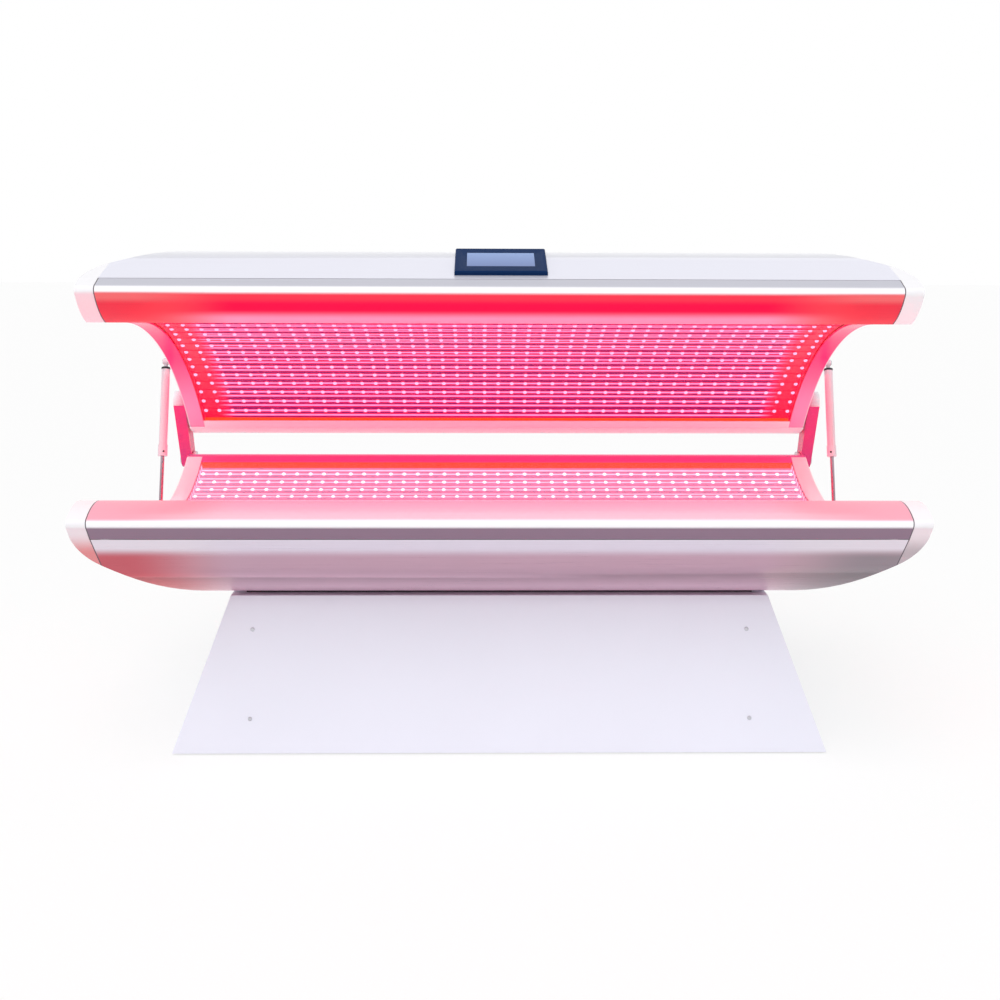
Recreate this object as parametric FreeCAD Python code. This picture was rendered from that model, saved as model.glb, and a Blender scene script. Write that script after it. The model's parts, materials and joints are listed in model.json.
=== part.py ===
import FreeCAD, Part
import math
import os

V = FreeCAD.Vector
os.makedirs("parts", exist_ok=True)

# A clamshell light bed: a pedestal, a bed shell, and the same shell upside down as a canopy.
# Sizes are in millimetres. X runs along the bed, Y to the rear, Z up from the floor.

# Shell, seen from the end
half_width = 430.0
nose_z = 576.0
lip_in = 100.0
lip_up = 37.0
crease_in = 22.0
crease_down = 36.0
face_angle = 49.0
keel_radius = 160.0
keel_z = 365.0

# Shell, seen from the front
half_length = 963.0
cap_length = 43.0
frame_set_back = 84.0
frame_depth = 43.0
keel_set_back = 343.0
keel_relief = 2.0
sweep_radius = 500.0
end_radius = 102.0

# Sheets and walls
cover_wall = 3.0
pan_wall = 2.5
cap_wall = 3.0
frame_wall = 4.0
rim_wall = 2.5
crease_gap = 1.5
fit_gap = 0.3

# Rim extrusion
nose_top_in = 10.0
nose_top_up = 15.0
nose_low_in = 4.0
nose_low_down = 10.0
nose_slope = 33.0
rim_back_in = 64.0
flange_width = 25.0
ledge_width = 42.0

# Lit hollow
bed_sagitta = 100.0
canopy_sagitta = 80.0
acrylic_wall = 5.0
acrylic_edge_gap = 3.0
led_depth = 22.0
led_plate = 2.5
led_strip_width = 12.0
led_strip_height = 2.0
led_row_pitch = 38.0
led_rows = 17

# Canopy hinge
closed_gap = 28.0
open_angle = 29.2
hinge_y = 440.0
hinge_z = 585.0
hinge_pin_radius = 7.0
hinge_eye_radius = 22.0
hinge_head = 4.0
running_gap = 0.05
side_gap = 0.5
bracket_plate = 8.0
bracket_foot_y = 310.0
bracket_foot_z = 540.0
bracket_foot_radius = 30.0
bracket_eye_radius = 24.0
arm_width = 32.0
arm_wall = 5.0

# Gas strut, its studs set out around the hinge on one radius
stud_arm = 361.4
stud_low_angle = 198.2
stud_open_spread = 74.4
strut_centre_out = 22.0
strut_eye_radius = 9.0
strut_eye_width = 12.0
stud_pin_radius = 4.0
stud_base_radius = 14.0
stud_base_height = 6.0
stud_head_height = 2.0
cylinder_length = 260.0
cylinder_radius = 11.0
cylinder_wall = 1.5
cylinder_neck = 20.0
guide_length = 15.0
collar_length = 30.0
collar_wall = 1.5
rod_radius = 5.0
rod_length = 207.0
piston_length = 10.0

# Pedestal
pedestal_top_z = 357.0
pedestal_bottom_z = 4.0
pedestal_set_back = 311.0
pedestal_top_half_y = 220.0
pedestal_flare_x = 127.0
pedestal_flare_y = 125.0
pedestal_sheet = 2.0
pedestal_fold = 32.0
tube = 40.0
tube_wall = 3.0
leg_set_in = 92.0
base_rail_z = 30.0
foot_radius = 30.0
foot_height = 12.0
foot_stud_radius = 8.0
spacer_width = 40.0

# Touch panel
bezel_width = 216.0
bezel_height = 161.0
bezel_depth = 10.0
bezel_start = 25.0
bezel_chamfer = 3.0
screen_width = 160.0
screen_height = 92.0
screen_depth = 2.0

# Cooling and power
fan_size = 120.0
fan_depth = 25.0
fan_bore_radius = 57.0
fan_x = 380.0
fan_y = 90.0
fan_hub_radius = 19.0
fan_pin_radius = 3.0
fan_spoke_width = 6.0
fan_spoke_height = 3.0
fan_blades = 7
blade_radius = 54.0
blade_pitch = 35.0
blade_thickness = 1.6
vent_slots = 9
vent_bar = 5.0
blade_root = 4.0
supply_length = 215.0
supply_width = 115.0
supply_height = 50.0
supply_step = 28.0
supply_x = 160.0
supply_y = -60.0
inlet_y = -110.0
inlet_z = 470.0
inlet_width = 50.0
inlet_height = 28.0
inlet_lip = 3.0
switch_y = -170.0
switch_width = 22.0
switch_height = 30.0
switch_depth = 14.0
rocker_gap = 0.6
rocker_pin_radius = 1.5

# Places worked out from the sizes above
face = math.radians(face_angle)
lip_y = half_width - lip_in
lip_z = nose_z + lip_up
crease_y = half_width - crease_in
crease_z = nose_z - crease_down
rim_back_y = half_width - rim_back_in
keel_centre_z = keel_z + keel_radius
keel_y = crease_y - (keel_radius - math.cos(face) * (keel_centre_z - crease_z)) / math.sin(face)
parting_z = lip_z + closed_gap / 2
seam_x = half_length - cap_length
frame_out = half_length - frame_set_back
frame_in = frame_out - frame_depth
keel_half = half_length - keel_set_back
pedestal_top_half_x = half_length - pedestal_set_back
pedestal_bottom_half_x = pedestal_top_half_x + pedestal_flare_x
pedestal_bottom_half_y = pedestal_top_half_y + pedestal_flare_y
leg_x = pedestal_top_half_x - leg_set_in
strut_x = frame_out + strut_centre_out
arm_x = frame_out + bracket_plate + side_gap


def at_x(point):
    return V(0, point[0], point[1])


def at_y(point):
    return V(point[0], 0, point[1])


def outline(place, start, *steps):
    """Closed wire: a step is an end point, or a pair of points for an arc through the first."""
    edges = []
    here = start
    for step in steps + (start,):
        if isinstance(step[0], tuple):
            edges.append(Part.Arc(place(here), place(step[0]), place(step[1])).toShape())
            here = step[1]
        elif math.dist(here, step) > 1e-6:
            edges.append(Part.LineSegment(place(here), place(step)).toShape())
            here = step
    return Part.Wire(edges)


def along_x(wire, x_from, x_to):
    solid = Part.Face(wire).extrude(V(x_to - x_from, 0, 0))
    solid.translate(V(x_from, 0, 0))
    return solid


def block(x_from, x_to, y_from, y_to, z_from, z_to):
    return Part.makeBox(x_to - x_from, y_to - y_from, z_to - z_from, V(x_from, y_from, z_from))


def rod_along(axis, radius, length, centre):
    return Part.makeCylinder(radius, length, centre, axis)


def on_circle(centre, radius, angle):
    """Point at an angle from straight down, positive towards the rear or the right."""
    return (centre[0] + radius * math.sin(angle), centre[1] - radius * math.cos(angle))


def flip_x(shape):
    return shape.mirror(V(0, 0, 0), V(1, 0, 0))


def flip_y(shape):
    return shape.mirror(V(0, 0, 0), V(0, 1, 0))


def to_canopy(shape):
    """Turns a bed piece upside down about the parting plane and opens it on the hinge."""
    return open_up(shape.mirror(V(0, 0, parting_z), V(0, 0, 1)))


def open_up(shape):
    opened = shape.copy()
    opened.rotate(V(0, hinge_y, hinge_z), V(1, 0, 0), -open_angle)
    return opened


# Shell hull: the end section run along the bed, cut to the boat shape seen from the front

def hull_section(inset):
    radius = keel_radius - inset
    top_y = crease_y - inset / math.sin(face)
    centre = (keel_y, keel_centre_z)
    tangent = on_circle(centre, radius, face)
    middle = on_circle(centre, radius, face / 2)
    keel = on_circle(centre, radius, 0)
    return outline(
        at_x,
        (-top_y, crease_z),
        (-tangent[0], tangent[1]),
        ((-middle[0], middle[1]), (-keel[0], keel[1])),
        keel,
        (middle, tangent),
        (top_y, crease_z),
    )


def boat_section(inset):
    reach = half_length - keel_half - end_radius
    turn = math.asin(reach / (sweep_radius - end_radius))
    sweep_centre = (keel_half, keel_z - keel_relief + sweep_radius)
    end_centre = on_circle(sweep_centre, sweep_radius - end_radius, turn)
    start = on_circle(sweep_centre, sweep_radius - inset, 0)
    sweep_middle = on_circle(sweep_centre, sweep_radius - inset, turn / 2)
    sweep_end = on_circle(sweep_centre, sweep_radius - inset, turn)
    end_middle = on_circle(end_centre, end_radius - inset, (turn + math.pi / 2) / 2)
    end = on_circle(end_centre, end_radius - inset, math.pi / 2)
    top = lip_z + lip_up

    def left(point):
        return (-point[0], point[1])

    return outline(
        at_y,
        left(start),
        start,
        (sweep_middle, sweep_end),
        (end_middle, end),
        (end[0], top),
        left((end[0], top)),
        left(end),
        (left(end_middle), left(sweep_end)),
        (left(sweep_middle), left(start)),
    )


def boat(inset):
    solid = Part.Face(boat_section(inset)).extrude(V(0, 2 * half_width, 0))
    solid.translate(V(0, -half_width, 0))
    return solid


def hull(inset):
    return along_x(hull_section(inset), -half_length, half_length).common(boat(inset))


def shell_cover():
    shell = hull(0).cut(hull(cover_wall))
    return shell.common(block(-seam_x, seam_x, -half_width, -keel_y, 0, crease_z - crease_gap))


def fan_vent():
    """Punched openings over one fan: straight slots, each as long as the fan's bore is wide there."""
    pitch = 2 * fan_bore_radius / vent_slots
    slots = []
    for index in range(vent_slots):
        y = (index - (vent_slots - 1) / 2) * pitch
        half_x = math.sqrt(fan_bore_radius ** 2 - y ** 2) - vent_bar
        half_y = (pitch - vent_bar) / 2
        low = keel_z - pan_wall
        slots.append(block(-half_x, half_x, y - half_y, y + half_y, low, low + pan_wall * 3))
    return slots[0].multiFuse(slots[1:])


def shell_pan():
    shell = hull(0).cut(hull(pan_wall))
    room = block(-frame_out, frame_out, -keel_y + fit_gap, half_width, 0, crease_z - crease_gap)
    pan = shell.common(room)
    for side in (-1, 1):
        vent = fan_vent()
        vent.translate(V(side * fan_x, fan_y, 0))
        pan = pan.cut(vent)
    return pan


# Rim: a hollow bullnose extrusion with a lip, a flange over the acrylic and a ledge under it

def front_point(inward, upward):
    return (-half_width + inward, nose_z + upward)


def rim_top_arc():
    """Centre and radius of the rim's top, which leaves the bullnose at its slope and ends at the lip."""
    start = front_point(nose_top_in, nose_top_up)
    end = front_point(lip_in, lip_up)
    slope = math.radians(nose_slope)
    chord = math.atan2(end[1] - start[1], end[0] - start[0])
    radius = math.dist(start, end) / (2 * math.sin(slope - chord))
    centre = (start[0] + radius * math.sin(slope), start[1] - radius * math.cos(slope))
    return centre, radius


def rim_top_point(inward):
    centre, radius = rim_top_arc()
    y = -half_width + inward
    return (y, centre[1] + math.sqrt(radius ** 2 - (y - centre[0]) ** 2))


def rim_nose_steps():
    """Steps from the top of the bullnose down to the crease."""
    return (
        (front_point(0, 0), front_point(nose_low_in, -nose_low_down)),
        front_point(crease_in, -crease_down),
    )


def hollow_circle(sagitta):
    radius = (lip_y ** 2 + sagitta ** 2) / (2 * sagitta)
    return (0, lip_z - sagitta + radius), radius


def hollow_sheet(sagitta, depth, wall, angle_from, angle_to, half_x):
    """Curved sheet a depth below the lit hollow's surface, between two angles."""
    centre, radius = hollow_circle(sagitta)
    middle = (angle_from + angle_to) / 2
    inner = radius + depth
    outer = inner + wall
    wire = outline(
        at_x,
        on_circle(centre, inner, angle_from),
        (on_circle(centre, inner, middle), on_circle(centre, inner, angle_to)),
        on_circle(centre, outer, angle_to),
        (on_circle(centre, outer, middle), on_circle(centre, outer, angle_from)),
    )
    return along_x(wire, -half_x, half_x)


def hollow_angle(sagitta, depth, y):
    return math.asin(y / (hollow_circle(sagitta)[1] + depth))


def ledge_top(sagitta):
    """Height of the ledge, just under the acrylic at the ledge's edge."""
    centre, radius = hollow_circle(sagitta)
    tip = rim_back_y - ledge_width
    return centre[1] - math.sqrt((radius + rim_wall + acrylic_wall) ** 2 - tip ** 2) - fit_gap


def front_rim(sagitta, half_x):
    back = -half_width + rim_back_in
    nose_top = front_point(nose_top_in, nose_top_up)
    top_middle = rim_top_point((nose_top_in + rim_back_in) / 2)
    tube_wire = outline(
        at_x,
        rim_top_point(rim_back_in),
        (top_middle, nose_top),
        *rim_nose_steps(),
        (back, crease_z),
    )
    chamber = Part.Wire(tube_wire.makeOffset2D(-rim_wall).Edges)
    rim = along_x(tube_wire, -half_x, half_x).cut(along_x(chamber, -half_x, half_x))
    lip_under = lip_z - rim_wall
    lip_wire = outline(
        at_x,
        rim_top_point(rim_back_in),
        (rim_top_point((rim_back_in + lip_in) / 2), front_point(lip_in, lip_up)),
        (-lip_y, lip_under),
        (back, lip_under),
    )
    rim = rim.fuse(along_x(lip_wire, -half_x, half_x))
    inner_x = frame_in - fit_gap
    lip_angle = hollow_angle(sagitta, 0, -lip_y)
    flange_angle = lip_angle + flange_width / hollow_circle(sagitta)[1]
    rim = rim.fuse(hollow_sheet(sagitta, 0, rim_wall, lip_angle, flange_angle, inner_x))
    ledge_z = ledge_top(sagitta)
    rim = rim.fuse(block(-inner_x, inner_x, back, back + ledge_width, ledge_z - rim_wall, ledge_z))
    return rim.removeSplitter()


def cap():
    """Right front cap: closes the rim and the cover, open towards them."""
    face_end_z = crease_z - (lip_in - crease_in) * math.tan(face)
    wire = outline(
        at_x,
        front_point(lip_in, lip_up),
        (rim_top_point((nose_top_in + lip_in) / 2), front_point(nose_top_in, nose_top_up)),
        *rim_nose_steps(),
        (-lip_y, face_end_z),
    )
    inner_wire = Part.Wire(wire.makeOffset2D(-cap_wall).Edges)
    outer = along_x(wire, seam_x, half_length).common(boat(0))
    inner = along_x(inner_wire, seam_x, half_length).common(boat(cap_wall))
    return outer.cut(inner)


def frame_blank(sagitta, wall, x_from, x_to):
    """End frame form, inset by a wall: hull below, rim backs at the sides, lit hollow on top."""
    lower = hull(cover_wall + fit_gap + wall)
    lower = lower.common(block(x_from, x_to, -half_width, half_width, 0, crease_z - fit_gap - wall))
    centre, radius = hollow_circle(sagitta)
    side = rim_back_y - fit_gap - wall
    top = lip_z - rim_wall - fit_gap - wall
    upper = block(x_from, x_to, -side, side, crease_z - fit_gap - wall, top)
    hollow = rod_along(V(1, 0, 0), radius + wall, x_to - x_from, V(x_from, *centre))
    return lower.fuse(upper).cut(hollow).removeSplitter()


def end_frame(sagitta):
    pocket = frame_blank(sagitta, frame_wall, frame_in, frame_out - frame_wall)
    return frame_blank(sagitta, 0, frame_in, frame_out).cut(pocket)


def acrylic(sagitta):
    edge = hollow_angle(sagitta, 0, lip_y) - acrylic_edge_gap / hollow_circle(sagitta)[1]
    return hollow_sheet(sagitta, rim_wall, acrylic_wall, -edge, edge, frame_in - fit_gap)


def led_panel(sagitta):
    """Plate hung under the rims' ledges, folded into one flat with a raised strip for each row of lamps."""
    centre, radius = hollow_circle(sagitta)
    radius += led_depth
    edge = math.acos((centre[1] - ledge_top(sagitta) + rim_wall + fit_gap) / radius)
    turn = led_row_pitch / radius
    folds = [(row - led_rows / 2) * turn for row in range(led_rows + 1)]
    folds = [-edge] + folds + [edge]
    upper = [on_circle(centre, radius, fold) for fold in folds]
    under = [on_circle(centre, radius + led_plate, fold) for fold in reversed(folds)]
    half_x = frame_in - fit_gap
    panel = along_x(outline(at_x, *upper, *under), -half_x, half_x)
    flat_z = centre[1] - radius * math.cos(turn / 2)
    half_strip = led_strip_width / 2
    strips = []
    for row in range(led_rows):
        strip = block(-half_x, half_x, -half_strip, half_strip, flat_z, flat_z + led_strip_height)
        strip.rotate(V(0, *centre), V(1, 0, 0), math.degrees((row - (led_rows - 1) / 2) * turn))
        strips.append(strip)
    return panel.multiFuse(strips).removeSplitter()


# Hinge: a bracket with its pin on the bed, an arm with its eye on the canopy

def link_face(start, start_radius, end, end_radius):
    """Plate outline round two circles, joined by their outer tangents."""
    length = math.dist(start, end)
    aim = math.atan2(end[1] - start[1], end[0] - start[0])
    spread = math.acos((start_radius - end_radius) / length)

    def point(centre, radius, angle):
        return (centre[0] + radius * math.cos(angle), centre[1] + radius * math.sin(angle))

    return outline(
        at_x,
        point(start, start_radius, aim + spread),
        (point(start, start_radius, aim + math.pi), point(start, start_radius, aim - spread)),
        point(end, end_radius, aim - spread),
        (point(end, end_radius, aim), point(end, end_radius, aim + spread)),
    )


def hinge_bracket():
    foot = (bracket_foot_y, bracket_foot_z)
    wire = link_face(foot, bracket_foot_radius, (hinge_y, hinge_z), bracket_eye_radius)
    return along_x(wire, frame_out, frame_out + bracket_plate)


def hinge_pin():
    base = frame_out + bracket_plate
    length = side_gap * 2 + arm_width
    shaft = rod_along(V(1, 0, 0), hinge_pin_radius, length, V(base, hinge_y, hinge_z))
    head_radius = (hinge_pin_radius + hinge_eye_radius) / 2
    head = rod_along(V(1, 0, 0), head_radius, hinge_head, V(base + length, hinge_y, hinge_z))
    return shaft.fuse(head).removeSplitter()


def hinge_arm():
    """Canopy arm, drawn closed: an eye on the pin, a pocketed web and a foot on the end frame."""
    foot = (bracket_foot_y, 2 * parting_z - bracket_foot_z)
    eye = (hinge_y, hinge_z)
    end_x = arm_x + arm_width
    arm = along_x(link_face(foot, bracket_foot_radius, eye, hinge_eye_radius), arm_x, end_x)
    inner = link_face(foot, bracket_foot_radius - arm_wall, eye, hinge_eye_radius - arm_wall)
    pocket = along_x(inner, arm_x + arm_wall, end_x)
    pocket = pocket.cut(rod_along(V(1, 0, 0), hinge_eye_radius, arm_width, V(arm_x, *eye)))
    arm = arm.cut(pocket)
    arm = arm.cut(rod_along(V(1, 0, 0), hinge_pin_radius + running_gap, arm_width, V(arm_x, *eye)))
    pad = rod_along(V(1, 0, 0), bracket_foot_radius, arm_x - frame_out, V(frame_out, *foot))
    return open_up(arm.fuse(pad).removeSplitter())


# Gas strut: both studs lie on one radius about the hinge, so cylinder and rod stay in line

def about_hinge(angle):
    turn = math.radians(angle)
    return (hinge_y + stud_arm * math.cos(turn), hinge_z + stud_arm * math.sin(turn))


stud_low = about_hinge(stud_low_angle)
stud_top = about_hinge(stud_low_angle - stud_open_spread)
strut_lean = math.degrees(math.atan2(stud_top[0] - stud_low[0], stud_top[1] - stud_low[1]))


def strut_eye():
    width = strut_eye_width
    eye = rod_along(V(1, 0, 0), strut_eye_radius, width, V(-width / 2, 0, 0))
    return eye, rod_along(V(1, 0, 0), stud_pin_radius + running_gap, width, V(-width / 2, 0, 0))


def set_strut(shape, stud):
    placed = shape.copy()
    placed.rotate(V(0, 0, 0), V(1, 0, 0), -strut_lean)
    placed.translate(V(strut_x, *stud))
    return placed


def strut_cylinder():
    down = V(0, 0, -1)
    eye, bore = strut_eye()
    body = rod_along(down, cylinder_radius, cylinder_length - cylinder_neck, V(0, 0, -cylinder_neck))
    neck = rod_along(down, rod_radius, cylinder_neck, V(0, 0, 0))
    collar_top = -(cylinder_length - collar_length)
    collar = rod_along(down, cylinder_radius + collar_wall, collar_length, V(0, 0, collar_top))
    body = body.multiFuse([neck, eye, collar])
    crown = cylinder_neck + guide_length
    chamber = rod_along(
        down, cylinder_radius - cylinder_wall, cylinder_length - guide_length - crown, V(0, 0, -crown)
    )
    guide = rod_along(down, rod_radius + running_gap, cylinder_length, V(0, 0, -crown))
    body = body.cut(chamber).cut(guide).cut(bore)
    return set_strut(body.removeSplitter(), stud_top)


def strut_rod():
    up = V(0, 0, 1)
    eye, bore = strut_eye()
    body = eye.fuse(rod_along(up, rod_radius, rod_length, V(0, 0, 0)))
    piston_radius = cylinder_radius - cylinder_wall - running_gap * 2
    body = body.fuse(rod_along(up, piston_radius, piston_length, V(0, 0, rod_length - piston_length)))
    return set_strut(body.cut(bore).removeSplitter(), stud_low)


def strut_stud(stud):
    base = rod_along(V(1, 0, 0), stud_base_radius, stud_base_height, V(frame_out, *stud))
    end_x = strut_x + strut_eye_width / 2 + side_gap
    pin = rod_along(V(1, 0, 0), stud_pin_radius, end_x - frame_out, V(frame_out, *stud))
    head_radius = (stud_pin_radius + strut_eye_radius) / 2
    head = rod_along(V(1, 0, 0), head_radius, stud_head_height, V(end_x, *stud))
    return base.multiFuse([pin, head]).removeSplitter()


# Pedestal: four folded panels over a welded tube frame on levelling feet

def pedestal_form(inset_x, inset_y):
    def ring(half_x, half_y, z):
        signs = ((-1, -1), (1, -1), (1, 1), (-1, 1), (-1, -1))
        return Part.makePolygon([V(sign_x * half_x, sign_y * half_y, z) for sign_x, sign_y in signs])

    low = ring(pedestal_bottom_half_x - inset_x, pedestal_bottom_half_y - inset_y, pedestal_bottom_z)
    high = ring(pedestal_top_half_x - inset_x, pedestal_top_half_y - inset_y, pedestal_top_z)
    return Part.makeLoft([low, high], True, True)


def pedestal_panels():
    rise = pedestal_top_z - pedestal_bottom_z
    sheet_x = pedestal_sheet / math.cos(math.atan((pedestal_bottom_half_x - pedestal_top_half_x) / rise))
    sheet_y = pedestal_sheet / math.cos(math.atan((pedestal_bottom_half_y - pedestal_top_half_y) / rise))
    fold_z = pedestal_top_z - pedestal_sheet
    far = pedestal_bottom_half_x
    long_room = pedestal_form(0, 0)
    short_room = pedestal_form(0, sheet_y + fit_gap)
    long_sheet = long_room.cut(pedestal_form(-far, sheet_y))
    short_sheet = short_room.cut(pedestal_form(sheet_x, -far))
    fold_y = pedestal_top_half_y - pedestal_fold
    fold_x = pedestal_top_half_x - pedestal_fold
    long_fold = long_room.common(block(-fold_x, fold_x, fold_y, far, fold_z, pedestal_top_z))
    short_fold = short_room.common(block(fold_x + fit_gap, far, -far, far, fold_z, pedestal_top_z))
    rear = long_sheet.common(block(-far, far, 0, far, 0, pedestal_top_z)).fuse(long_fold)
    right = short_sheet.common(block(0, far, -far, far, 0, pedestal_top_z)).fuse(short_fold)
    return rear.removeSplitter(), right.removeSplitter()


def square_tube(x_from, x_to, y_from, y_to, z_from, z_to, axis):
    """Square tube along one axis, open at its ends."""
    walls = [tube_wall, tube_wall, tube_wall]
    walls[axis] = 0
    bore = block(
        x_from + walls[0],
        x_to - walls[0],
        y_from + walls[1],
        y_to - walls[1],
        z_from + walls[2],
        z_to - walls[2],
    )
    return block(x_from, x_to, y_from, y_to, z_from, z_to).cut(bore)


def pedestal_frame():
    """Upper ring and two base rails of square tube, joined by four legs and a cross rail."""
    top = pedestal_top_z - pedestal_sheet
    under = top - tube
    half = tube / 2
    rail_y = pedestal_top_half_y - pedestal_fold
    rail_x = pedestal_top_half_x - pedestal_fold
    base_top = base_rail_z + tube
    pieces = []
    for side in (-1, 1):
        y_from = side * rail_y - half
        y_to = side * rail_y + half
        x_from = side * rail_x - half
        leg_from = side * leg_x - half
        pieces.append(square_tube(-rail_x - half, rail_x + half, y_from, y_to, under, top, 0))
        pieces.append(square_tube(x_from, x_from + tube, -rail_y + half, rail_y - half, under, top, 1))
        pieces.append(square_tube(-leg_x - tube, leg_x + tube, y_from, y_to, base_rail_z, base_top, 0))
        for leg_y in (-rail_y, rail_y):
            leg_room = (leg_from, leg_from + tube, leg_y - half, leg_y + half, base_top, under)
            pieces.append(square_tube(*leg_room, 2))
    inner = rail_y - half
    pieces.append(square_tube(-half, half, -inner, inner, base_rail_z, base_top, 1))
    return pieces[0].multiFuse(pieces[1:]).removeSplitter()


def foot(x, y):
    disc = rod_along(V(0, 0, 1), foot_radius, foot_height, V(x, y, 0))
    stud = rod_along(V(0, 0, 1), foot_stud_radius, base_rail_z, V(x, y, 0))
    return disc.fuse(stud).removeSplitter()


def plinth_spacer():
    out_x = pedestal_top_half_x - pedestal_fold - fit_gap
    out_y = pedestal_top_half_y - pedestal_fold - fit_gap
    low = pedestal_top_z - pedestal_sheet
    outer = block(-out_x, out_x, -out_y, out_y, low, keel_z)
    in_x = out_x - spacer_width
    in_y = out_y - spacer_width
    return outer.cut(block(-in_x, in_x, -in_y, in_y, low, keel_z))


# Touch panel, drawn flat on the shell's front face and turned with it

def on_face(shape):
    placed = shape.copy()
    placed.rotate(V(0, 0, 0), V(1, 0, 0), -face_angle)
    placed.translate(V(0, -crease_y, crease_z))
    return placed


def touch_bezel():
    half = bezel_width / 2
    plate = block(-half, half, bezel_start, bezel_start + bezel_height, -bezel_depth, 0)
    front_edges = [edge for edge in plate.Edges if edge.BoundBox.ZMax < -bezel_depth / 2]
    plate = plate.makeChamfer(bezel_chamfer, front_edges)
    middle = bezel_start + bezel_height / 2
    half_w = screen_width / 2
    half_h = screen_height / 2
    front = -bezel_depth
    recess = block(-half_w, half_w, middle - half_h, middle + half_h, front, front + screen_depth)
    return on_face(plate.cut(recess))


def touch_screen():
    middle = bezel_start + bezel_height / 2
    half_w = screen_width / 2 - fit_gap
    half_h = screen_height / 2 - fit_gap
    front = -bezel_depth
    return on_face(block(-half_w, half_w, middle - half_h, middle + half_h, front, front + screen_depth))


# Cooling fan, drawn on the shell's floor

def fan_frame():
    half = fan_size / 2
    body = block(-half, half, -half, half, 0, fan_depth)
    corners = [edge for edge in body.Edges if edge.BoundBox.ZLength > fan_depth / 2]
    body = body.makeFillet(half - fan_bore_radius, corners)
    body = body.cut(Part.makeCylinder(fan_bore_radius, fan_depth))
    reach = (fan_bore_radius + fan_size / 2) / 2
    spoke = fan_spoke_width / 2
    cross = block(-reach, reach, -spoke, spoke, 0, fan_spoke_height)
    cross = cross.fuse(block(-spoke, spoke, -reach, reach, 0, fan_spoke_height))
    disc = Part.makeCylinder(fan_hub_radius, fan_spoke_height)
    pin = Part.makeCylinder(fan_pin_radius, fan_depth - fan_spoke_height)
    return body.multiFuse([cross, disc, pin]).removeSplitter()


def fan_rotor():
    low = fan_spoke_height + side_gap
    height = fan_depth - low - fan_spoke_height
    hub = Part.makeCylinder(fan_hub_radius, height, V(0, 0, low))
    middle = low + height / 2
    chord = (height - blade_thickness * 2) / math.sin(math.radians(blade_pitch))
    blades = []
    for index in range(fan_blades):
        start = fan_hub_radius - blade_root
        blade = block(start, blade_radius, -chord / 2, chord / 2, -blade_thickness / 2, blade_thickness / 2)
        blade.rotate(V(0, 0, 0), V(1, 0, 0), blade_pitch)
        blade.translate(V(0, 0, middle))
        blade.rotate(V(0, 0, 0), V(0, 0, 1), 360 * index / fan_blades)
        blades.append(blade)
    rotor = hub.multiFuse(blades).removeSplitter()
    return rotor.cut(Part.makeCylinder(fan_pin_radius + running_gap, fan_depth))


def set_fan(shape, side):
    placed = shape.copy()
    placed.translate(V(side * fan_x, fan_y, keel_z + pan_wall))
    return placed


# Power pieces

def power_supply(side):
    """Closed supply with a stepped end for its terminals."""
    x = side * supply_x
    low = keel_z + pan_wall
    high = low + supply_height
    half_x = supply_length / 2
    half_y = supply_width / 2
    box = block(x - half_x, x + half_x, supply_y - half_y, supply_y + half_y, low, high)
    middle = low + supply_height / 2
    step = block(x - half_x, x - half_x + supply_step, supply_y - half_y, supply_y + half_y, middle, high)
    return box.cut(step)


def centred_block(x_from, x_to, half_y, half_z, y):
    """Block on the right end frame, centred at a place along Y and at the inlet's height."""
    return block(x_from, x_to, y - half_y, y + half_y, inlet_z - half_z, inlet_z + half_z)


def power_inlet():
    x = frame_out
    half_w = inlet_width / 2
    half_h = inlet_height / 2
    plate = centred_block(x, x + inlet_lip, half_w, half_h, inlet_y)
    inner_w = half_w / 2
    inner_h = half_h - inlet_lip
    collar = centred_block(x, x + inlet_lip * 2, inner_w, inner_h, inlet_y)
    wall = inlet_lip / 2
    socket = centred_block(x + inlet_lip, x + inlet_lip * 2, inner_w - wall, inner_h - wall, inlet_y)
    return plate.fuse(collar).cut(socket).removeSplitter()


def switch_frame():
    x = frame_out
    half_w = switch_width / 2 + inlet_lip
    half_h = switch_height / 2 + inlet_lip
    end_x = x + switch_depth / 2
    body = centred_block(x, end_x, half_w, half_h, switch_y)
    hole_w = switch_width / 2 + rocker_gap
    hole_h = switch_height / 2 + rocker_gap
    hole = centred_block(x + inlet_lip / 2, end_x, hole_w, hole_h, switch_y)
    pin = rod_along(V(0, 1, 0), rocker_pin_radius, hole_w * 2, V(end_x, switch_y - hole_w, inlet_z))
    bearing_end = end_x + rocker_pin_radius
    bearing = centred_block(x, bearing_end, half_w, rocker_pin_radius, switch_y)
    bearing = bearing.cut(centred_block(x, bearing_end, hole_w, rocker_pin_radius, switch_y))
    return body.cut(hole).multiFuse([pin, bearing]).removeSplitter()


def switch_rocker():
    end_x = frame_out + switch_depth / 2
    half_w = switch_width / 2
    half_h = switch_height / 2
    depth = switch_depth / 4
    wire = outline(
        lambda p: V(p[0], switch_y - half_w, p[1]),
        (end_x - depth / 2, inlet_z - half_h),
        (end_x + depth, inlet_z - half_h),
        ((end_x + depth - rocker_gap, inlet_z), (end_x + depth, inlet_z + half_h)),
        (end_x - depth / 2, inlet_z + half_h),
        (end_x - depth, inlet_z),
    )
    body = Part.Face(wire).extrude(V(0, switch_width, 0))
    radius = rocker_pin_radius + running_gap
    return body.cut(rod_along(V(0, 1, 0), radius, switch_width, V(end_x, switch_y - half_w, inlet_z)))


# All pieces by name

nodes = {}


def pair(name, right):
    nodes[name + "_right"] = right
    nodes[name + "_left"] = flip_x(right)


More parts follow.
